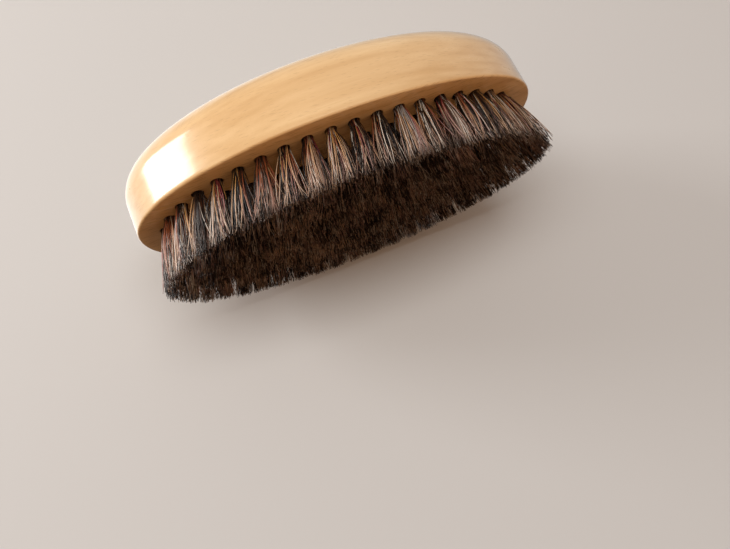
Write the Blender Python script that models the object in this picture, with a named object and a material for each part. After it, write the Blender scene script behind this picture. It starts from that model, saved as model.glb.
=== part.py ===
"""Oval palm beard brush: one beech block, tufts of natural bristle, and the staples that hold them.

The brush stands on its bristle tips with the wooden back up. +X runs along its length, +Z up, and
the origin is the centre of the plane of the bristle tips. Everything is in metres.
"""
import math

import bmesh
import bpy
from mathutils import Vector

MM = 0.001

# Driving dimensions of the block
BLOCK_LENGTH = 115 * MM
BLOCK_WIDTH = 65 * MM
BLOCK_THICKNESS = 21 * MM       # at the middle of the block
BACK_EDGE_RADIUS = 8.5 * MM     # the palm-side edge, rounded all the way round
FACE_EDGE_BREAK = 0.6 * MM      # the eased edge on the bristle side
BACK_FALL_LENGTHWISE = 1.4 * MM   # how much lower the back is at its two ends
BACK_FALL_CROSSWISE = 0.8 * MM    # and at its two sides
FACE_RISE = 2.0 * MM            # how much the bristle face curves up at its two ends

# Driving dimensions of the bristle field
BRISTLE_LENGTH = 14.5 * MM      # from the middle of the bristle face to the tips
HOLE_DIAMETER = 3.2 * MM
HOLE_DEPTH = 9 * MM
RING_INSET_LENGTHWISE = 7.0 * MM   # from the block's ends to the outer ring of holes
RING_INSET_CROSSWISE = 6.3 * MM    # and from its sides
RING_TUFTS = 42
ROW_TUFTS = (6, 11, 14, 15, 14, 11, 6)   # in each inner row, from the -Y side to the +Y side
SPLAY_LENGTHWISE = 3.4 * MM     # how far the tufts at the two ends lean outwards over their length
SPLAY_CROSSWISE = 1.0 * MM      # and those at the two sides
TIP_RADIUS = 2.8 * MM           # of an outer tuft, where its neighbours leave room for it
RING_TO_FIELD = 0.9 * MM        # between the tips of the outer ring and those of the inner rows
FIELD_SIDE = 1.3 * MM           # left free beside the first and the last inner row

# Staples: flat wire driven across the fold of each tuft
STAPLE_HEIGHT = 1.6 * MM
STAPLE_THICKNESS = 0.4 * MM
FOLD_THICKNESS = 0.6 * MM       # bristle between the staple and the bottom of the hole
STAPLED_ROW = 1                 # the one inner row whose staples are modelled, counted from the -Y side

CLEARANCE = 0.3 * MM            # between pieces that touch
TIP_MERGE = 0.3 * MM            # how far the tips of one row run into each other
OUTLINE_POINTS = 72
EDGE_STEPS = 5
TUFT_SIDES = 8

HALF_LENGTH = BLOCK_LENGTH / 2
HALF_WIDTH = BLOCK_WIDTH / 2
RING_X = HALF_LENGTH - RING_INSET_LENGTHWISE
RING_Y = HALF_WIDTH - RING_INSET_CROSSWISE
SPREAD_X = 1 + SPLAY_LENGTHWISE / RING_X   # from a place on the bristle face to the same tuft's tip
SPREAD_Y = 1 + SPLAY_CROSSWISE / RING_Y
FIELD_X = RING_X * SPREAD_X - TIP_RADIUS - RING_TO_FIELD
FIELD_Y = RING_Y * SPREAD_Y - TIP_RADIUS - RING_TO_FIELD
ROW_TIP_PITCH = 2 * (FIELD_Y - FIELD_SIDE) / len(ROW_TUFTS)
ROW_TIP_HALF_WIDTH = (ROW_TIP_PITCH - CLEARANCE) / 2
TUFT_RADIUS = HOLE_DIAMETER / 2 - CLEARANCE


def clear_scene():
    for old in list(bpy.data.objects):
        bpy.data.objects.remove(old, do_unlink=True)


def make_material(name, colour, roughness, metallic=0.0):
    material = bpy.data.materials.new(name)
    material.use_nodes = True
    shader = material.node_tree.nodes["Principled BSDF"]
    shader.inputs["Base Color"].default_value = (*colour, 1.0)
    shader.inputs["Roughness"].default_value = roughness
    shader.inputs["Metallic"].default_value = metallic
    return material


def add_object(name, mesh, material=None):
    part = bpy.data.objects.new(name, mesh)
    bpy.context.scene.collection.objects.link(part)
    if material:
        mesh.materials.append(material)
    return part


def make_cutter(name, mesh):
    cutter = add_object(name, mesh)
    cutter.hide_render = True
    cutter.display_type = "WIRE"
    return cutter


def cut(part, cutter):
    boolean = part.modifiers.new(cutter.name, "BOOLEAN")
    boolean.operation = "DIFFERENCE"
    boolean.solver = "EXACT"
    boolean.object = cutter


def face_height(x):
    """Height of the bristle face above the tips, at a distance x from the middle."""
    return BRISTLE_LENGTH + FACE_RISE * (x / HALF_LENGTH) ** 2


def back_height(x, y):
    """Height of the back's domed surface, before its edge is rounded."""
    top = BRISTLE_LENGTH + BLOCK_THICKNESS
    fall = BACK_FALL_LENGTHWISE * (x / HALF_LENGTH) ** 2 + BACK_FALL_CROSSWISE * (y / HALF_WIDTH) ** 2
    return top - fall


def block_loops():
    """The block's outlines from the bristle face up over the back, each a list of points."""
    def outline(inset, height):
        points = []
        for i in range(OUTLINE_POINTS):
            angle = 2 * math.pi * i / OUTLINE_POINTS
            x = (HALF_LENGTH - inset) * math.cos(angle)
            y = (HALF_WIDTH - inset) * math.sin(angle)
            points.append((x, y, height(x, y)))
        return points

    yield outline(FACE_EDGE_BREAK, lambda x, y: face_height(x))
    yield outline(0, lambda x, y: face_height(x) + FACE_EDGE_BREAK)
    for step in range(EDGE_STEPS + 1):
        turn = math.pi / 2 * step / EDGE_STEPS
        inset = BACK_EDGE_RADIUS * (1 - math.cos(turn))
        drop = BACK_EDGE_RADIUS * (1 - math.sin(turn))
        yield outline(inset, lambda x, y: back_height(x, y) - drop)
    for share in (0.4, 0.75):
        inset = BACK_EDGE_RADIUS + share * (HALF_WIDTH - BACK_EDGE_RADIUS)
        yield outline(inset, back_height)


def make_block(material):
    bm = bmesh.new()
    loops = [[bm.verts.new(point) for point in loop] for loop in block_loops()]
    count = OUTLINE_POINTS
    for low, high in zip(loops, loops[1:]):
        for i in range(count):
            j = (i + 1) % count
            bm.faces.new((low[i], low[j], high[j], high[i]))
    crown = bm.verts.new((0, 0, back_height(0, 0)))
    for i in range(count):
        bm.faces.new((loops[-1][i], loops[-1][(i + 1) % count], crown))
    # The bristle face is curved lengthwise only, so it is laid in flat strips from side to side.
    rim = loops[0]
    bm.faces.new((rim[0], rim[-1], rim[1]))
    for i in range(1, count // 2 - 1):
        bm.faces.new((rim[i], rim[-i], rim[-i - 1], rim[i + 1]))
    middle = count // 2
    bm.faces.new((rim[middle - 1], rim[middle + 1], rim[middle]))
    mesh = bpy.data.meshes.new("beech_block")
    bm.to_mesh(mesh)
    bm.free()
    block = add_object("beech_block", mesh, material)
    mesh.shade_smooth()
    mesh.set_sharp_from_angle(angle=math.radians(40))
    return block


def ring_positions():
    """Holes of the outer ring, evenly spaced along its ellipse."""
    fine = 50 * RING_TUFTS
    path = [
        Vector((RING_X * math.cos(2 * math.pi * i / fine), RING_Y * math.sin(2 * math.pi * i / fine)))
        for i in range(fine + 1)
    ]
    travelled = [0.0]
    for start, end in zip(path, path[1:]):
        travelled.append(travelled[-1] + (end - start).length)
    positions = []
    k = 0
    for n in range(RING_TUFTS):
        target = travelled[-1] * (n + 0.5) / RING_TUFTS
        while travelled[k + 1] < target:
            k += 1
        share = (target - travelled[k]) / (travelled[k + 1] - travelled[k])
        positions.append(path[k].lerp(path[k + 1], share))
    return positions


def row_positions():
    """Holes of each inner row. The tips of a row fill its strip of the field inside the ring."""
    rows = []
    for row, tufts in enumerate(ROW_TUFTS):
        tip_y = (row - (len(ROW_TUFTS) - 1) / 2) * ROW_TIP_PITCH
        corner_y = abs(tip_y) + 0.7 * ROW_TIP_HALF_WIDTH
        reach = FIELD_X * math.sqrt(1 - (corner_y / FIELD_Y) ** 2) - TIP_MERGE
        tip_pitch = 2 * reach / tufts
        rows.append([
            Vector(((n - (tufts - 1) / 2) * tip_pitch / SPREAD_X, tip_y / SPREAD_Y))
            for n in range(tufts)
        ])
    return rows


def along_tuft(root, height):
    """Centre of a tuft, or of its hole, at a height above the tips. Outer tufts lean outwards."""
    lean = Vector((root.x / RING_X * SPLAY_LENGTHWISE, root.y / RING_Y * SPLAY_CROSSWISE))
    down = (face_height(root.x) - height) / BRISTLE_LENGTH
    return root + lean * down


def stack_sections(bm, root, sections):
    """One closed stem of flat sections, given from the top down as (height, x radius, y radius)."""
    loops = []
    for height, radius_x, radius_y in sections:
        centre = along_tuft(root, height)
        loop = []
        for i in range(TUFT_SIDES):
            angle = 2 * math.pi * (i + 0.5) / TUFT_SIDES
            offset = (radius_x * math.cos(angle), radius_y * math.sin(angle))
            loop.append(bm.verts.new((centre.x + offset[0], centre.y + offset[1], height)))
        loops.append(loop)
    bm.faces.new(loops[0])
    for high, low in zip(loops, loops[1:]):
        for i in range(TUFT_SIDES):
            j = (i + 1) % TUFT_SIDES
            bm.faces.new((low[i], low[j], high[j], high[i]))
    bm.faces.new(reversed(loops[-1]))


def tuft_mesh(name, root, tip_x, tip_y):
    face = face_height(root.x)
    bm = bmesh.new()
    stack_sections(bm, root, (
        (face + HOLE_DEPTH - CLEARANCE, TUFT_RADIUS, TUFT_RADIUS),
        (face, TUFT_RADIUS, TUFT_RADIUS),
        (0.0, tip_x, tip_y),
    ))
    mesh = bpy.data.meshes.new(name)
    bm.to_mesh(mesh)
    bm.free()
    mesh.shade_smooth()
    mesh.set_sharp_from_angle(angle=math.radians(50))
    return mesh


def drill_holes(block, roots):
    bm = bmesh.new()
    radius = HOLE_DIAMETER / 2
    for root in roots:
        face = face_height(root.x)
        stack_sections(bm, root, (
            (face + HOLE_DEPTH, radius, radius),
            (face - HOLE_DIAMETER, radius, radius),
        ))
    mesh = bpy.data.meshes.new("hole_cutter")
    bm.to_mesh(mesh)
    bm.free()
    cut(block, make_cutter("hole_cutter", mesh))


def make_outer_tufts(roots, material):
    for n, root in enumerate(roots):
        tip = along_tuft(root, 0.0)
        gaps = [(along_tuft(roots[n - 1], 0.0) - tip).length,
                (along_tuft(roots[(n + 1) % len(roots)], 0.0) - tip).length]
        tip_radius = min(TIP_RADIUS, (min(gaps) - CLEARANCE) / 2)
        name = f"outer_tuft_{n + 1:02d}"
        add_object(name, tuft_mesh(name, root, tip_radius, tip_radius), material)


def make_inner_row(number, roots, material):
    """One row of tufts whose tips have run together into a single body of bristle."""
    tip_pitch = (roots[1].x - roots[0].x) * SPREAD_X
    # A tuft's section is a polygon, whose flats are nearer its middle than its corners are.
    corner = 1 / math.cos(math.pi / TUFT_SIDES)
    tip_x = (tip_pitch / 2 + TIP_MERGE) * corner
    name = f"inner_row_{number}"
    row = add_object(name, tuft_mesh(name, roots[0], tip_x, ROW_TIP_HALF_WIDTH), material)
    others = bpy.data.collections.new(f"{name}_tufts")
    for n, root in enumerate(roots[1:], start=2):
        mesh = tuft_mesh(f"{name}_tuft_{n:02d}", root, tip_x, ROW_TIP_HALF_WIDTH)
        tuft = bpy.data.objects.new(mesh.name, mesh)
        tuft.hide_render = True
        tuft.display_type = "WIRE"
        others.objects.link(tuft)
    bpy.context.scene.collection.children.link(others)
    merge = row.modifiers.new("merge_tips", "BOOLEAN")
    merge.operation = "UNION"
    merge.solver = "EXACT"
    merge.operand_type = "COLLECTION"
    merge.collection = others
    return row


def staple_centre(root):
    """Centre of the staple in a hole: inside the fold at the end of the tuft."""
    fold_end = face_height(root.x) + HOLE_DEPTH - CLEARANCE
    height = fold_end - FOLD_THICKNESS - CLEARANCE - STAPLE_HEIGHT / 2
    return along_tuft(root, height).to_3d() + Vector((0, 0, height))


def add_box(bm, centre, size):
    corners = bmesh.ops.create_cube(bm, size=1.0)["verts"]
    bmesh.ops.scale(bm, vec=size, verts=corners)
    bmesh.ops.translate(bm, vec=centre, verts=corners)


def make_staples(row, roots, material):
    """A staple across each fold of one row, and the opening in the fold that it sits in."""
    length = HOLE_DIAMETER - 2 * CLEARANCE
    openings = bmesh.new()
    for n, root in enumerate(roots):
        centre = staple_centre(root)
        bm = bmesh.new()
        add_box(bm, centre, (length, STAPLE_THICKNESS, STAPLE_HEIGHT))
        name = f"staple_{n + 1:02d}"
        mesh = bpy.data.meshes.new(name)
        bm.to_mesh(mesh)
        bm.free()
        add_object(name, mesh, material)
        opening = (2 * HOLE_DIAMETER, STAPLE_THICKNESS + 2 * CLEARANCE, STAPLE_HEIGHT + 2 * CLEARANCE)
        add_box(openings, centre, opening)
    mesh = bpy.data.meshes.new("staple_opening_cutter")
    openings.to_mesh(mesh)
    openings.free()
    cut(row, make_cutter("staple_opening_cutter", mesh))


clear_scene()
beech = make_material("beech", (0.62, 0.37, 0.17), 0.35)
bristle = make_material("natural_bristle", (0.035, 0.022, 0.016), 0.45)
staple_wire = make_material("staple_wire", (0.72, 0.66, 0.52), 0.3, metallic=1.0)

ring = ring_positions()
rows = row_positions()
block = make_block(beech)
drill_holes(block, ring + [root for row in rows for root in row])
make_outer_tufts(ring, bristle)
for number, roots in enumerate(rows, start=1):
    row = make_inner_row(number, roots, bristle)
    if number == STAPLED_ROW:
        make_staples(row, roots, staple_wire)
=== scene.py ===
import math

import bpy
from mathutils import Euler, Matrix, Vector


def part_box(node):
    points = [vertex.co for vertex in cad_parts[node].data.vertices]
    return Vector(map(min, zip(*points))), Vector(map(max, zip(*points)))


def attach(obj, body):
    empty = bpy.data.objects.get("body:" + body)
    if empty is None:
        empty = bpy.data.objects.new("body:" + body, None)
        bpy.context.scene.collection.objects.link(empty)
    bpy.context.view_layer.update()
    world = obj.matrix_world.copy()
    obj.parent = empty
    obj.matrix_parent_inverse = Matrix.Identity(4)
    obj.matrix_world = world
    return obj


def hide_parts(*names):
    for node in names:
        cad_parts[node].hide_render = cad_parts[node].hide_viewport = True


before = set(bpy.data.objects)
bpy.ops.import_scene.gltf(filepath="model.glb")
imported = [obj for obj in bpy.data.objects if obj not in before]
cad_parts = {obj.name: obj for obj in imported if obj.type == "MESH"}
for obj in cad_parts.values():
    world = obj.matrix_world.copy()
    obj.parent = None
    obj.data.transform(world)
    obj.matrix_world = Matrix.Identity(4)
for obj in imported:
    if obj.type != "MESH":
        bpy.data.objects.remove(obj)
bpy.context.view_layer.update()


# Beech block ---------------------------------------------------------------------------------
# One piece of flat-sawn beech, milled to an oval, domed and rounded over on the palm side, and
# drilled from the bristle side with a blind hole for each tuft. It is sanded and sprayed with a
# clear satin lacquer.

class Wire:
    """An output in a node tree. Arithmetic on it adds Math nodes, and make() adds any other node."""

    def __init__(self, tree, socket=None):
        self.tree = tree
        self.socket = socket

    def make(self, kind, settings=(), inputs=(), output=0):
        """Adds a node, its settings first, then the values or wires of its sockets."""
        node = self.tree.nodes.new(kind)
        for name, value in dict(settings).items():
            if name == "stops":
                ramp = node.color_ramp.elements
                while len(ramp) < len(value):
                    ramp.new(1.0)
                for element, (place, colour) in zip(ramp, value):
                    element.position = place
                    element.color = (*colour, 1.0)
            elif name == "captured":
                for label, form in value.items():
                    node.capture_items.new(form, label)
            else:
                setattr(node, name, value)
        for name, value in dict(inputs).items():
            if isinstance(value, Wire):
                self.tree.links.new(value.socket, node.inputs[name])
            else:
                node.inputs[name].default_value = value
        return Wire(self.tree, node.outputs[output])

    def other(self, output):
        """Another output of the same node."""
        return Wire(self.tree, self.socket.node.outputs[output])

    def math(self, operation, *values, clamp=False):
        settings = {"operation": operation, "use_clamp": clamp}
        return self.make("ShaderNodeMath", settings, dict(enumerate(values)))

    def __add__(self, value):
        return self.math("ADD", self, value)

    def __sub__(self, value):
        return self.math("SUBTRACT", self, value)

    def __mul__(self, value):
        return self.math("MULTIPLY", self, value)

    def __truediv__(self, value):
        return self.math("DIVIDE", self, value)

    def __pow__(self, value):
        return self.math("POWER", self, value)

    def __rsub__(self, value):
        return self.math("SUBTRACT", value, self)

    def __rtruediv__(self, value):
        return self.math("DIVIDE", value, self)

    __radd__ = __add__
    __rmul__ = __mul__

    def sine(self):
        return self.math("SINE", self)

    def cosine(self):
        return self.math("COSINE", self)

    def stage(self, start, end):
        """How far this value has gone from start to end, held between 0 and 1."""
        return self.math("DIVIDE", self - start, end - start, clamp=True)

    def xyz(self, x, y, z):
        return self.make("ShaderNodeCombineXYZ", {}, {"X": x, "Y": y, "Z": z})

    def parts(self):
        """The x, y and z of this vector."""
        x = self.make("ShaderNodeSeparateXYZ", {}, {"Vector": self})
        return x, x.other(1), x.other(2)

    def vector(self, operation, *values):
        return self.make("ShaderNodeVectorMath", {"operation": operation}, dict(enumerate(values)))

    def mix(self, first, second):
        """Two colours mixed by this value."""
        settings = {"data_type": "RGBA"}
        return self.make("ShaderNodeMix", settings, {0: self, 6: first, 7: second}, output=2)


def new_tree(name, sizes):
    """A geometry tree with a named input for each size. Returns the tree and its input wires."""
    tree = bpy.data.node_groups.new(name, "GeometryNodeTree")
    tree.interface.new_socket("Geometry", in_out="INPUT", socket_type="NodeSocketGeometry")
    tree.interface.new_socket("Geometry", in_out="OUTPUT", socket_type="NodeSocketGeometry")
    for label, value in sizes.items():
        form = "NodeSocketInt" if isinstance(value, int) else "NodeSocketFloat"
        tree.interface.new_socket(label, in_out="INPUT", socket_type=form)
    start = Wire(tree).make("NodeGroupInput")
    wires = {socket.name: Wire(tree, socket) for socket in start.socket.node.outputs if socket.name}
    return tree, wires


def end_tree(tree, geometry, material):
    """Closes a tree with real geometry and its material."""
    real = geometry.make("GeometryNodeRealizeInstances", {}, {"Geometry": geometry})
    painted = real.make("GeometryNodeSetMaterial", {}, {"Geometry": real, "Material": material})
    end = tree.nodes.new("NodeGroupOutput")
    tree.links.new(painted.socket, end.inputs[0])


def grow(name, tree, points, leans, sizes):
    """Runs a tree on start points that each carry a lean, and returns the result as a plain mesh."""
    mesh = bpy.data.meshes.new(name)
    mesh.from_pydata(points, [], [])
    lean = mesh.attributes.new("lean", "FLOAT_VECTOR", "POINT")
    for item, value in zip(lean.data, leans):
        item.vector = value
    piece = bpy.data.objects.new(name, mesh)
    bpy.context.scene.collection.objects.link(piece)
    modifier = piece.modifiers.new(name, "NODES")
    modifier.node_group = tree
    for item in tree.interface.items_tree:
        if item.in_out == "INPUT" and item.name in sizes:
            modifier[item.identifier] = sizes[item.name]
    graph = bpy.context.evaluated_depsgraph_get()
    done = bpy.data.meshes.new_from_object(
        piece.evaluated_get(graph), preserve_all_data_layers=True, depsgraph=graph
    )
    piece.modifiers.clear()
    piece.data = done
    done.name = name
    if "lean" in done.attributes:
        done.attributes.remove(done.attributes["lean"])
    return piece


MM = 0.001
low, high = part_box("beech_block")
HALF_LENGTH = (high.x - low.x) / 2
HALF_WIDTH = (high.y - low.y) / 2
BACK_TOP = high.z
BRISTLE_LENGTH = low.z            # the face's lowest point is in the middle
BACK_EDGE_RADIUS = 8.5 * MM
FACE_EDGE_BREAK = 0.6 * MM
BACK_FALL_LENGTHWISE = 1.4 * MM
BACK_FALL_CROSSWISE = 0.8 * MM
FACE_RISE = 2.0 * MM
HOLE_DIAMETER = 3.2 * MM
HOLE_DEPTH = 9 * MM

# The drill pattern: an outer ring, and rows whose tufts fill the field inside it.
RING_INSET_LENGTHWISE = 7.0 * MM
RING_INSET_CROSSWISE = 6.3 * MM
RING_TUFTS = 42
ROW_TUFTS = (6, 11, 14, 15, 14, 11, 6)
SPLAY_LENGTHWISE = 3.4 * MM
SPLAY_CROSSWISE = 1.0 * MM
TIP_RADIUS = 2.8 * MM
RING_TO_FIELD = 0.9 * MM
FIELD_SIDE = 1.3 * MM
CLEARANCE = 0.3 * MM
TIP_MERGE = 0.3 * MM
RING_X = HALF_LENGTH - RING_INSET_LENGTHWISE
RING_Y = HALF_WIDTH - RING_INSET_CROSSWISE
SPREAD_X = 1 + SPLAY_LENGTHWISE / RING_X
SPREAD_Y = 1 + SPLAY_CROSSWISE / RING_Y
FIELD_X = RING_X * SPREAD_X - TIP_RADIUS - RING_TO_FIELD
FIELD_Y = RING_Y * SPREAD_Y - TIP_RADIUS - RING_TO_FIELD
ROW_TIP_PITCH = 2 * (FIELD_Y - FIELD_SIDE) / len(ROW_TUFTS)
ROW_TIP_HALF_WIDTH = (ROW_TIP_PITCH - CLEARANCE) / 2


def on_face(x, y):
    """A place on the bristle face, which curves up lengthwise."""
    return Vector((x, y, BRISTLE_LENGTH + FACE_RISE * (x / HALF_LENGTH) ** 2))


def lean_of(root):
    """From the middle of a hole's mouth to the middle of its tuft's tip."""
    share = root.z / BRISTLE_LENGTH
    out_x = root.x / RING_X * SPLAY_LENGTHWISE
    out_y = root.y / RING_Y * SPLAY_CROSSWISE
    return Vector((out_x * share, out_y * share, -root.z))


def ring_roots():
    """Hole mouths of the outer ring, evenly spaced along its ellipse."""
    fine = 50 * RING_TUFTS
    turn = 2 * math.pi / fine
    path = [Vector((RING_X * math.cos(turn * i), RING_Y * math.sin(turn * i))) for i in range(fine + 1)]
    travelled = [0.0]
    for start, end in zip(path, path[1:]):
        travelled.append(travelled[-1] + (end - start).length)
    roots = []
    k = 0
    for n in range(RING_TUFTS):
        target = travelled[-1] * (n + 0.5) / RING_TUFTS
        while travelled[k + 1] < target:
            k += 1
        place = path[k].lerp(path[k + 1], (target - travelled[k]) / (travelled[k + 1] - travelled[k]))
        roots.append(on_face(*place))
    return roots


def row_roots():
    """Hole mouths of each inner row, and the distance between its tips."""
    rows = []
    for row, tufts in enumerate(ROW_TUFTS):
        tip_y = (row - (len(ROW_TUFTS) - 1) / 2) * ROW_TIP_PITCH
        corner_y = abs(tip_y) + 0.7 * ROW_TIP_HALF_WIDTH
        reach = FIELD_X * math.sqrt(1 - (corner_y / FIELD_Y) ** 2) - TIP_MERGE
        pitch = 2 * reach / tufts
        middle = (tufts - 1) / 2
        roots = [on_face((n - middle) * pitch / SPREAD_X, tip_y / SPREAD_Y) for n in range(tufts)]
        rows.append((roots, pitch))
    return rows


ring = ring_roots()
rows = row_roots()
all_roots = ring + [root for roots, pitch in rows for root in roots]

BEECH_PALE = (0.83, 0.57, 0.295)
BEECH_HONEY = (0.665, 0.40, 0.165)
BEECH_RING = (0.56, 0.31, 0.115)
BEECH_FLECK = (0.24, 0.105, 0.038)
GROWTH_LAYER = 2.7 * MM
LAYER_WANDER = 6.2 * MM
ARCH_MIDDLE = (6 * MM, 3 * MM)
ARCH_CURVE = (3.4, 13.5)          # how fast the layers fall off along and across the block
DASH = (2.3 * MM, 0.18 * MM)      # the length and the thickness of a ray's cut edge
SPECK = (1.2 * MM, 0.13 * MM)
PORE = (1.2 * MM, 0.13 * MM)
FLECK_BEND = 2.2 * MM
FLECK_GAP = 2.6                   # from one fleck to the next, in fleck lengths or thicknesses
ROW_SHIFT = 0.41                  # how far each line of flecks is set off from the one beside it


def beech():
    """Lacquered beech, its grain along X, its growth layers nearly level and its rays upright."""
    material = bpy.data.materials.new("lacquered_beech")
    material.use_nodes = True
    tree = material.node_tree
    shader = tree.nodes["Principled BSDF"]
    place = Wire(tree).make("ShaderNodeTexCoord", output=3)
    upright = place.other(1).parts()[2]
    level = upright.math("ABSOLUTE", upright).stage(0.25, 0.9)

    def stretched(length, across, thick, detail, seed):
        """Noise whose patches are about that long, wide and thick, in metres."""
        fitted = place.vector("MULTIPLY", place, (1 / length, 1 / across, 1 / thick))
        moved = fitted.vector("ADD", fitted, (seed, seed * 1.7, seed * 2.3))
        sockets = {"Vector": moved, "Scale": 1.0, "Detail": detail}
        return moved.make("ShaderNodeTexNoise", {}, sockets)

    # Growth layers: wide shells that arch over the block's middle, so they end in ovals on its back.
    x, y, z = place.parts()
    wander = (stretched(45 * MM, 20 * MM, 20 * MM, detail=1.5, seed=3.1) - 0.5) * LAYER_WANDER
    middle_x, middle_y = ARCH_MIDDLE
    curve_x, curve_y = ARCH_CURVE
    arch = (x - middle_x) ** 2.0 * curve_x + (y - middle_y) ** 2.0 * curve_y
    turns = (z - arch + wander) * (2 * math.pi / GROWTH_LAYER)
    late_wood = (turns.sine() * 0.5 + 0.5) ** 2.2
    streak = stretched(90 * MM, 3.2 * MM, 2.4 * MM, detail=3.0, seed=7.7)
    cloud = stretched(50 * MM, 22 * MM, 20 * MM, detail=1.0, seed=1.3)
    fibre = stretched(12 * MM, 0.16 * MM, 0.16 * MM, detail=2.0, seed=5.2)
    tone = cloud.stage(0.30, 0.72) * 0.55 + streak.stage(0.38, 0.66) * 0.45
    ground = tone.mix((*BEECH_PALE, 1), (*BEECH_HONEY, 1))
    ring_share = (level * 0.26 + 0.2) * streak.stage(0.2, 0.65)
    ringed = (late_wood * ring_share).mix(ground, (*BEECH_RING, 1))
    grained = (fibre.stage(0.45, 0.75) * 0.16).mix(ringed, (*BEECH_RING, 1))

    def flecks(across, size, share, seed):
        """Short dark dashes of that length and thickness along the grain, in some cells of a net."""
        length, thickness = size
        bend = (stretched(20 * MM, 6 * MM, 20 * MM, detail=0.0, seed=seed) - 0.5) * FLECK_BEND
        row = (across + bend) / (thickness * FLECK_GAP)
        fitted = place.xyz(x / (length * FLECK_GAP) + row * ROW_SHIFT, row, seed)
        cells = {"Vector": fitted, "Scale": 1.0, "Randomness": 1.0}
        distance = fitted.make("ShaderNodeTexVoronoi", {"voronoi_dimensions": "2D"}, cells)
        chance = distance.other(1).parts()[0]
        kept = chance.math("LESS_THAN", chance, share)
        return (1 - distance.stage(0.09, 0.24)) * kept

    # The wood's rays are thin upright sheets: dashes on the level sides, hardly seen on the wall.
    dashes = flecks(y, DASH, share=0.55, seed=11.0)
    specks = flecks(y, SPECK, share=0.36, seed=23.0)
    pores = flecks(z, PORE, share=0.20, seed=31.0)
    dark = dashes.math("MAXIMUM", dashes * 0.85, specks * 0.55) * level + pores * (1 - level) * 0.35
    flecked = (dark * 0.7).mix(grained, (*BEECH_FLECK, 1))
    tree.links.new(flecked.socket, shader.inputs["Base Color"])
    satin = streak.stage(0.3, 0.7) * 0.06 + dark * 0.1 + 0.27
    tree.links.new(satin.socket, shader.inputs["Roughness"])
    relief = dark * -0.5 + fibre * 0.22 + late_wood * 0.12
    sockets = {"Height": relief, "Strength": 0.22, "Distance": 0.06 * MM}
    tree.links.new(relief.make("ShaderNodeBump", {}, sockets).socket, shader.inputs["Normal"])
    shader.inputs["Specular IOR Level"].default_value = 0.5
    shader.inputs["Coat Weight"].default_value = 1.0
    shader.inputs["Coat Roughness"].default_value = 0.15
    shader.inputs["Coat IOR"].default_value = 1.5
    return material


BLOCK_SIZES = {
    "Half length": HALF_LENGTH,
    "Half width": HALF_WIDTH,
    "Back top": BACK_TOP,
    "Face bottom": BRISTLE_LENGTH,
    "Face rise": FACE_RISE,
    "Face edge": FACE_EDGE_BREAK,
    "Back edge": BACK_EDGE_RADIUS,
    "Back fall lengthwise": BACK_FALL_LENGTHWISE,
    "Back fall crosswise": BACK_FALL_CROSSWISE,
    "Hole radius": HOLE_DIAMETER / 2,
    "Hole depth": HOLE_DEPTH,
    "Points round": 193,
    "Points over": 81,
}

# The part of the points over at which each stretch of the block's surface ends.
FACE_ENDS = 0.20
EDGE_ENDS = 0.27
WALL_ENDS = 0.38
ROUND_ENDS = 0.66
DRILL_SIDES = 20
WELD = 0.01 * MM
SHARP_EDGE = math.radians(35)


def block_tree(material):
    """An oval body from a grid that runs round the outline and from the face over to the back."""
    tree, size = new_tree("oval_block", BLOCK_SIZES)
    start = size["Geometry"]
    sockets = {"Vertices X": size["Points round"], "Vertices Y": size["Points over"]}
    grid = start.make("GeometryNodeMeshGrid", {}, sockets)
    u, v, unused = grid.make("GeometryNodeInputPosition").parts()
    around = (u + 0.5) * (2 * math.pi)
    over = v + 0.5

    # One after another: out over the face, round its edge, up the wall, round the back edge, and in
    # over the back.
    face = over.stage(0.0, FACE_ENDS)
    eased = over.stage(FACE_ENDS, EDGE_ENDS) * (math.pi / 2)
    wall = over.stage(EDGE_ENDS, WALL_ENDS)
    turned = over.stage(WALL_ENDS, ROUND_ENDS) * (math.pi / 2)
    dome = over.stage(ROUND_ENDS, 1.0)
    inset = size["Face edge"] * (1 - eased.sine()) + size["Back edge"] * (1 - turned.cosine())
    share = face * (1 - dome)
    x = (size["Half length"] - inset) * share * around.cosine()
    y = (size["Half width"] - inset) * share * around.sine()
    along = (x / size["Half length"]) ** 2.0
    across = (y / size["Half width"]) ** 2.0
    lower = size["Face bottom"] + size["Face rise"] * along + size["Face edge"] * (1 - eased.cosine())
    fall = size["Back fall lengthwise"] * along + size["Back fall crosswise"] * across
    upper = size["Back top"] - fall - size["Back edge"] * (1 - turned.sine())
    z = lower + (upper - lower) * wall
    shaped = grid.make("GeometryNodeSetPosition", {}, {"Geometry": grid, "Position": grid.xyz(x, y, z)})
    closed = shaped.make("GeometryNodeMergeByDistance", {}, {"Geometry": shaped, "Distance": WELD})

    # Each hole is drilled along its tuft, which leans outwards, and ends flat.
    lean = start.make("GeometryNodeInputNamedAttribute", {"data_type": "FLOAT_VECTOR"}, {"Name": "lean"})
    up = lean.vector("NORMALIZE", lean.vector("MULTIPLY", lean, (-1, -1, -1)))
    drill_sockets = {"Vertices": DRILL_SIDES, "Radius": size["Hole radius"], "Depth": size["Hole depth"] * 2}
    drill = start.make("GeometryNodeMeshCylinder", {}, drill_sockets)
    turn = up.make("FunctionNodeAlignRotationToVector", {"axis": "Z"}, {"Vector": up})
    sockets = {"Points": start, "Instance": drill, "Rotation": turn}
    drills = start.make("GeometryNodeInstanceOnPoints", {}, sockets)
    bored = closed.make(
        "GeometryNodeMeshBoolean", {"operation": "DIFFERENCE", "solver": "EXACT"},
        {"Mesh 1": closed, "Mesh 2": drills},
    )
    smooth = bored.make("GeometryNodeSetShadeSmooth", {}, {"Geometry": bored})
    end_tree(tree, smooth, material)
    return tree


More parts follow.
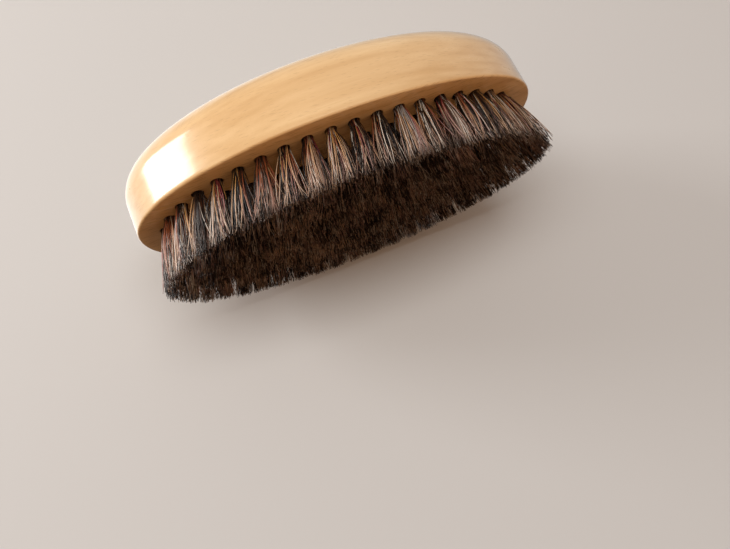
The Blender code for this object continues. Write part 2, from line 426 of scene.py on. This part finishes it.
block = grow(
    "block_of_beech", block_tree(beech()), all_roots, [lean_of(root) for root in all_roots], BLOCK_SIZES
)
block.data.set_sharp_from_angle(angle=SHARP_EDGE)
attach(block, "root")
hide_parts("beech_block")


# Staples -------------------------------------------------------------------------------------
# Short lengths of flat tinned wire. The filling machine drives one across the fold of each tuft
# into the bottom of its hole, where its ends bite into the wood.

STAPLE_LENGTH = HOLE_DIAMETER - 2 * CLEARANCE
STAPLE_THICKNESS = 0.4 * MM
STAPLE_HEIGHT = 1.6 * MM
FOLD_THICKNESS = 0.6 * MM
STAPLE_DEPTH = HOLE_DEPTH - 2 * CLEARANCE - FOLD_THICKNESS - STAPLE_HEIGHT / 2
STAPLE_SIZES = {"Length": STAPLE_LENGTH, "Thickness": STAPLE_THICKNESS, "Height": STAPLE_HEIGHT}
TIN_DULL = (0.62, 0.58, 0.5)
TIN_BRIGHT = (0.8, 0.77, 0.7)


def tinned_wire():
    """Bright drawn wire, a little mottled."""
    material = bpy.data.materials.new("tinned_wire")
    material.use_nodes = True
    tree = material.node_tree
    shader = tree.nodes["Principled BSDF"]
    place = Wire(tree).make("ShaderNodeTexCoord", output=3)
    drawn = place.make("ShaderNodeTexNoise", {}, {"Vector": place, "Scale": 2600.0, "Detail": 3.0})
    colour = drawn.stage(0.35, 0.65).mix((*TIN_DULL, 1), (*TIN_BRIGHT, 1))
    tree.links.new(colour.socket, shader.inputs["Base Color"])
    tree.links.new((drawn * 0.2 + 0.22).socket, shader.inputs["Roughness"])
    shader.inputs["Metallic"].default_value = 1.0
    return material


def staple_tree(material):
    """One short flat wire upright at each start point."""
    tree, size = new_tree("staples", STAPLE_SIZES)
    start = size["Geometry"]
    across = start.xyz(size["Length"], size["Thickness"], size["Height"])
    wire = start.make("GeometryNodeMeshCube", {}, {"Size": across})
    lean = start.make("GeometryNodeInputNamedAttribute", {"data_type": "FLOAT_VECTOR"}, {"Name": "lean"})
    turn = lean.make("FunctionNodeAlignRotationToVector", {"axis": "Z"}, {"Vector": lean})
    sockets = {"Points": start, "Instance": wire, "Rotation": turn}
    end_tree(tree, start.make("GeometryNodeInstanceOnPoints", {}, sockets), material)
    return tree


def in_hole(root, depth):
    """A point on a hole's axis, that far above its mouth."""
    return root - lean_of(root) * (depth / root.z)


staples = grow(
    "staples", staple_tree(tinned_wire()), [in_hole(root, STAPLE_DEPTH) for root in all_roots],
    [Vector((0, 0, 1)) for root in all_roots], STAPLE_SIZES
)
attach(staples, "root")
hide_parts(*[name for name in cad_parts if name.startswith("staple_")])


# Tufts ---------------------------------------------------------------------------------------
# Bundles of stiff animal bristle: black and brown, mixed with rust red, gold, grey and white.
# Each is folded in two and stapled into its hole, fans out to the tip, and is trimmed level with
# the others after filling.

TUFT_SIZES = {
    "Bristles": 132,
    "Bristles in a lock": 3,
    "Points along": 8,
    "Tuft radius": HOLE_DIAMETER / 2 - 0.2 * MM,
    "Tip spread along": TIP_RADIUS,
    "Tip spread across": TIP_RADIUS,
    "Depth in hole": STAPLE_DEPTH,
    "Bristle radius": 0.11 * MM,
    "Lock scatter": 1.35 * MM,
    "Tip scatter": 1.1 * MM,
    "Outward part": 0.35,
    "Trim": 1.5 * MM,
    "Bow": 0.8 * MM,
    "Stray": 3.0 * MM,
    "Seed": 0,
}
BESIDE_ITS_LOCK = 0.17            # how far a bristle stands from its lock's middle, in tuft radii
STRAY_SHARE = 0.09                # bristles that leave their lock at the tip
OWN_COLOUR_SHARE = 0.28           # bristles that don't have their lock's colour
ALIKE_SHARE = 0.33                # locks of a tuft that have the tuft's own colour
TUFT_SHADES = (0.7, 1.35)         # from a lighter tuft to a darker one
FLARE = 1.15                      # over 1, so that a tuft fans out more towards its tip
THINNED = 0.25                    # of a bristle's thickness, from its root to its tip
COMBED = Vector((-2.2 * MM, 0, 0))     # the way that use has brushed the tips, most in the middle
HAIR_MAP = "OFBake"

# Roughly from dark bristle to light, and how much of the filling has each colour.
HAIR_COLOURS = (
    (0.008, 0.006, 0.006), (0.030, 0.016, 0.011), (0.10, 0.042, 0.020), (0.36, 0.095, 0.032),
    (0.28, 0.034, 0.038), (0.62, 0.31, 0.09), (0.56, 0.37, 0.22), (0.50, 0.45, 0.42),
    (0.92, 0.85, 0.74),
)
HAIR_SHARES = (0.20, 0.19, 0.14, 0.11, 0.07, 0.08, 0.09, 0.03, 0.09)
# The light hairs' tip colour: partly their own paler tips, partly painted highlight.
HAIR_PALE_TIP_AND_GLINT = (0.74, 0.60, 0.52)
# Painted shade: the colour that the cut ends are darkened to.
HAIR_TIP_SHADE = (0.018, 0.010, 0.006)
# Painted shade: the colour that the roots are darkened to.
HAIR_ROOT_SHADE = (0.010, 0.007, 0.006)


def natural_bristle():
    """Bristle whose colour changes from hair to hair, across its map, and from root to tip, up it, with
    painted shade at the roots and cut ends and partly painted highlight towards the tips.
    """
    material = bpy.data.materials.new("natural_bristle")
    material.use_nodes = True
    tree = material.node_tree
    shader = tree.nodes["Principled BSDF"]
    chart = Wire(tree).make("ShaderNodeUVMap", {"uv_map": HAIR_MAP})
    hair, along, unused = chart.parts()
    stops = []
    start = 0.0
    for colour, part in zip(HAIR_COLOURS, HAIR_SHARES):
        stops += [(start + 0.01, colour), (start + part - 0.01, colour)]
        start += part
    dyed = hair.make("ShaderNodeValToRGB", {"stops": stops}, {"Fac": hair})

    # The light hairs are paler towards their ends, partly their own colour and partly painted highlight; the
    # cut ends and the roots are darkened with painted shade.
    # Partly the light hairs' own paler tips, partly painted highlight towards their ends.
    tip_pallor_and_glint = along.stage(0.4, 0.85) * hair.stage(0.35, 0.6) * 0.5
    # Painted shade: the last stretch of each bristle is darkened, the dark hairs most.
    painted_tip_shade = along.stage(0.87, 0.98) * (0.85 - hair.stage(0.45, 0.8) * 0.3)
    ended = painted_tip_shade.mix(tip_pallor_and_glint.mix(dyed, (*HAIR_PALE_TIP_AND_GLINT, 1)), (*HAIR_TIP_SHADE, 1))
    # Painted shade: each bristle is darkened towards its root, near the wood.
    coloured = ((1 - along.stage(0.08, 0.46)) * 0.95).mix(ended, (*HAIR_ROOT_SHADE, 1))
    tree.links.new(coloured.socket, shader.inputs["Base Color"])
    shader.inputs["Roughness"].default_value = 0.32
    shader.inputs["Specular IOR Level"].default_value = 0.42
    return material


def tuft_tree(material):
    """Fans bristles out from each hole: up out of the fold, out of the mouth, and on to the tip."""
    tree, size = new_tree("tufts", TUFT_SIZES)
    start = size["Geometry"]
    sockets = {"Geometry": start, "Amount": size["Bristles"]}
    many = start.make("GeometryNodeDuplicateElements", {"domain": "POINT"}, sockets)
    index = start.make("GeometryNodeInputIndex")
    lock = index.math("FLOOR", index / size["Bristles in a lock"])
    tuft = index.math("FLOOR", index / size["Bristles"])

    def chance(number, least=-1.0, most=1.0, of=index):
        """A random value for each bristle, or for each lock or tuft of them."""
        sockets = {2: least, 3: most, "ID": of, "Seed": size["Seed"] * 31 + number}
        return start.make("FunctionNodeRandomValue", {"data_type": "FLOAT"}, sockets, output=1)

    # Where a bristle stands in its tuft, as part of the tuft's radius.
    out = chance(1, 0.0, 1.0, lock)
    out = out.math("SQRT", out) * 0.9
    turn = chance(2, 0.0, 2 * math.pi, lock)
    disc_x = out * turn.cosine() + chance(3) * BESIDE_ITS_LOCK
    disc_y = out * turn.sine() + chance(4) * BESIDE_ITS_LOCK
    beside = start.xyz(disc_x * size["Tuft radius"], disc_y * size["Tuft radius"], 0.0)

    # Its tip goes its own way, a few of them far from the others.
    stray = chance(5, 0.0, 1.0)
    stray = stray.math("GREATER_THAN", stray, 1 - STRAY_SHARE) * size["Stray"] + size["Tip scatter"]
    tip_x = disc_x * size["Tip spread along"] + stray * chance(6)
    tip_y = disc_y * size["Tip spread across"] + stray * chance(7)
    tip_x = tip_x + size["Lock scatter"] * chance(8, of=lock)
    tip_y = tip_y + size["Lock scatter"] * chance(9, of=lock)
    tip = start.xyz(tip_x, tip_y, chance(10, 0.0, 1.0) ** 3.0 * size["Trim"])
    bow_x = chance(11, of=lock) + chance(12) * 0.9
    bow_y = chance(13, of=lock) + chance(14) * 0.9
    bow = start.xyz(bow_x * size["Bow"], bow_y * size["Bow"], 0.0)

    # Most bristles of a lock share its colour, a third of a tuft's locks are alike, and each tuft
    # is a little darker or lighter.
    own = chance(15, 0.0, 1.0)
    shade = own.math("GREATER_THAN", own, 1 - OWN_COLOUR_SHARE)
    alike = chance(19, 0.0, 1.0, lock)
    alike = alike.math("LESS_THAN", alike, ALIKE_SHARE)
    shared = chance(16, 0.0, 1.0, lock) * (1 - alike) + chance(20, 0.0, 1.0, tuft) * alike
    hair = shared * (1 - shade) + chance(17, 0.0, 1.0) * shade
    hair = hair ** chance(18, *TUFT_SHADES, tuft)

    root = start.make("GeometryNodeInputPosition")
    lean = start.make("GeometryNodeInputNamedAttribute", {"data_type": "FLOAT_VECTOR"}, {"Name": "lean"})
    mouth = root.vector("ADD", root, beside)
    fan = tip.vector("SUBTRACT", tip, beside)

    # The neighbours hold a tuft's bristles in from the outside of the brush.
    outward = root.vector("MULTIPLY", root, (1 / RING_X ** 2, 1 / RING_Y ** 2, 0))
    outward = outward.vector("NORMALIZE", outward)
    dot = fan.make("ShaderNodeVectorMath", {"operation": "DOT_PRODUCT"}, {0: fan, 1: outward}, output=1)
    held = dot.math("MAXIMUM", dot, 0.0) * (size["Outward part"] - 1)
    fan = fan.vector("ADD", fan, outward.vector("MULTIPLY", outward, start.xyz(held, held, held)))
    items = {"mouth": "VECTOR", "fan": "VECTOR", "bow": "VECTOR", "lean": "VECTOR", "hair": "FLOAT"}
    kept = many.make(
        "GeometryNodeCaptureAttribute", {"captured": items, "domain": "POINT"},
        {"Geometry": many, 1: mouth, 2: fan, 3: bow, 4: lean, 5: hair},
    )
    line = start.make("GeometryNodeCurvePrimitiveLine", {}, {"End": (0.0, 0.0, 0.01)})
    strand = line.make("GeometryNodeResampleCurve", {}, {"Curve": line, "Count": size["Points along"]})
    strands = kept.make("GeometryNodeInstanceOnPoints", {}, {"Points": kept, "Instance": strand})
    real = strands.make("GeometryNodeRealizeInstances", {}, {"Geometry": strands})

    # The first point is down in the hole, the second at its mouth, and the last at the tip.
    mouth, fan, bow, lean, hair = (kept.other(n) for n in range(1, 6))

    def scaled(vector, amount):
        return vector.vector("MULTIPLY", vector, vector.xyz(amount, amount, amount))

    factor = real.make("GeometryNodeSplineParameter")
    first = 1 / (size["Points along"] - 1)
    along = (factor - first).math("DIVIDE", factor - first, 1 - first, clamp=True)
    down = 1 - factor.math("DIVIDE", factor, first, clamp=True)
    lean_length = lean.make("ShaderNodeVectorMath", {"operation": "LENGTH"}, {0: lean}, output=1)
    stem = scaled(lean, along - down * size["Depth in hole"] / lean_length)
    place = mouth.vector("ADD", mouth, stem)
    place = place.vector("ADD", place, scaled(fan, along ** FLARE))
    place = place.vector("ADD", place, scaled(bow, along * (1 - along) * 4))
    posed = real.make("GeometryNodeSetPosition", {}, {"Geometry": real, "Position": place})
    posed = posed.make(
        "GeometryNodeCaptureAttribute", {"captured": {"along": "FLOAT"}, "domain": "POINT"},
        {"Geometry": posed, 1: along},
    )
    section = start.make("GeometryNodeCurvePrimitiveCircle", {}, {"Resolution": 3, "Radius": 1.0})
    side = section.make("GeometryNodeSplineParameter")
    section = section.make(
        "GeometryNodeCaptureAttribute", {"captured": {"side": "FLOAT"}, "domain": "POINT"},
        {"Geometry": section, 1: side},
    )
    thickness = size["Bristle radius"] * (1 - posed.other(1) * THINNED)
    tube = posed.make(
        "GeometryNodeCurveToMesh", {},
        {"Curve": posed, "Profile Curve": section, "Scale": thickness, "Fill Caps": True},
    )
    chart = tube.xyz(hair * 0.97 + section.other(1) * 0.02, posed.other(1), 0.0)
    charted = tube.make(
        "GeometryNodeStoreNamedAttribute", {"data_type": "FLOAT2", "domain": "CORNER"},
        {"Geometry": tube, "Name": HAIR_MAP, "Value": chart},
    )
    end_tree(tree, charted.make("GeometryNodeSetShadeSmooth", {}, {"Geometry": charted}), material)
    return tree


fan_tree = tuft_tree(natural_bristle())


def fill_tufts(name, node, roots, tip_x, tip_y, seed):
    """The bristles that stand for one solid of the frame."""
    sizes = dict(TUFT_SIZES)
    sizes["Tip spread along"] = tip_x
    sizes["Tip spread across"] = tip_y
    sizes["Seed"] = seed
    leans = [lean_of(root) + COMBED * max(0, 1 - (root.x / RING_X) ** 2) for root in roots]
    piece = grow(name, fan_tree, roots, leans, sizes)
    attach(piece, "root")
    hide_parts(node)


for n, root in enumerate(ring, start=1):
    fill_tufts(f"ring_tuft_{n:02d}", f"outer_tuft_{n:02d}", [root], TIP_RADIUS, TIP_RADIUS, n)
for n, (roots, pitch) in enumerate(rows, start=1):
    reach = pitch / 2 + TIP_MERGE
    seed = len(ring) + n
    fill_tufts(f"row_of_tufts_{n}", f"inner_row_{n}", roots, reach, ROW_TIP_HALF_WIDTH, seed)


# Studio --------------------------------------------------------------------------------------
# A pale floor that the brush stands on, and a pale upright sheet close behind it. Both show only
# their front, so that the low camera looks up through the floor at the brush, and neither holds
# back any light.

def paper(name, colour):
    """A matt sheet that is seen from its front only, and through which all light passes."""
    material = bpy.data.materials.new(name)
    material.use_nodes = True
    tree = material.node_tree
    tree.nodes.clear()
    flat = Wire(tree).make("ShaderNodeBsdfDiffuse", {}, {"Color": (*colour, 1)})
    clear = flat.make("ShaderNodeBsdfTransparent")
    behind = flat.make("ShaderNodeNewGeometry", output=6)
    unseen = 1 - flat.make("ShaderNodeLightPath")
    hidden = behind.math("MAXIMUM", behind, unseen)
    mixed = flat.make("ShaderNodeMixShader", {}, {0: hidden, 1: flat, 2: clear})
    end = tree.nodes.new("ShaderNodeOutputMaterial")
    tree.links.new(mixed.socket, end.inputs["Surface"])
    return material


def sheet(name, corners, material):
    mesh = bpy.data.meshes.new(name)
    mesh.from_pydata(corners, [], [range(4)])
    mesh.materials.append(material)
    stand = bpy.data.objects.new(name, mesh)
    bpy.context.scene.collection.objects.link(stand)


REACH = 1.5
BEHIND = HALF_WIDTH + 0.2 * MM
FLOOR_COLOUR = (0.74, 0.735, 0.73)
BACKDROP_COLOUR = (0.60, 0.595, 0.59)
corners = ((-REACH, -REACH), (REACH, -REACH), (REACH, REACH), (-REACH, REACH))
sheet("floor", [(x, y, 0) for x, y in corners], paper("floor_paper", FLOOR_COLOUR))
sheet("backdrop", [(x, BEHIND, z) for x, z in corners], paper("backdrop_paper", BACKDROP_COLOUR))


def soft_light(name, place, width, height, watts, colour):
    """A rectangular lamp, turned to the middle of the brush."""
    lamp = bpy.data.lights.new(name, "AREA")
    lamp.shape = "RECTANGLE"
    lamp.size = width
    lamp.size_y = height
    lamp.energy = watts
    lamp.color = colour
    holder = bpy.data.objects.new(name, lamp)
    bpy.context.scene.collection.objects.link(holder)
    holder.location = place
    aim = Vector((0, 0, BRISTLE_LENGTH)) - Vector(place)
    holder.rotation_euler = aim.to_track_quat("-Z", "Y").to_euler()
    return holder


soft_light(
    "window", place=(-0.61, -0.20, 0.41), width=0.42, height=0.26, watts=3.9, colour=(1.0, 0.98, 0.96)
)
room_light = soft_light(
    "room", place=(-0.14, -0.84, 0.13), width=1.0, height=0.34, watts=4.5, colour=(1.0, 0.97, 0.93)
)
room_light.visible_glossy = False      # only the window shows in the lacquer

# The room's own light: even from above, warm from below, where it comes mostly from the front and
# the right, and a bright patch high up behind the left end.
ABOVE = (0.42, 0.43, 0.44, 1)
SLANTED_LEFT = (0.32, 0.21, 0.14, 1)
SLANTED_RIGHT = (0.43, 0.28, 0.18, 1)
BELOW_LEFT = (0.10, 0.045, 0.018, 1)
BELOW_RIGHT = (1.20, 0.72, 0.40, 1)
BELOW_BEHIND = (0.02, 0.012, 0.008, 1)
PATCH = (1.5, 1.46, 1.4, 1)
PATCH_DIRECTION = (-0.45, 0.77, 0.45)

world = bpy.data.worlds.new("studio")
bpy.context.scene.world = world
world.use_nodes = True
background = world.node_tree.nodes["Background"]
direction = Wire(world.node_tree).make("ShaderNodeTexCoord")
across, depth, height = direction.parts()
side = across.stage(-0.9, 0.9)
slanted = side.mix(SLANTED_LEFT, SLANTED_RIGHT)
straight = side.mix(BELOW_LEFT, BELOW_RIGHT)
bounce = (0 - height).stage(0.45, 0.95).mix(slanted, straight)
bounce = (depth.stage(-0.1, 0.5) * 0.8).mix(bounce, BELOW_BEHIND)
room = height.stage(-0.3, 0.45).mix(bounce, ABOVE)
toward = direction.make(
    "ShaderNodeVectorMath", {"operation": "DOT_PRODUCT"}, {0: direction, 1: PATCH_DIRECTION}, output=1
)
glow = toward.stage(0.55, 1.0) * height.stage(-0.05, 0.3)
room = glow.mix(room, PATCH)
world.node_tree.links.new(room.socket, background.inputs["Color"])

bpy.context.scene.view_settings.view_transform = "Standard"

camera_data = bpy.data.cameras.new("camera")
camera_data.lens = 29.6
camera_data.sensor_width = 36
camera_data.clip_start = 0.005
camera = bpy.data.objects.new("camera", camera_data)
bpy.context.scene.collection.objects.link(camera)
bpy.context.scene.camera = camera
camera.location = (-0.0379, -0.1472, BRISTLE_LENGTH - 0.0700)
camera.rotation_euler = Euler((math.radians(107.1), math.radians(23.8), math.radians(-4.6)))
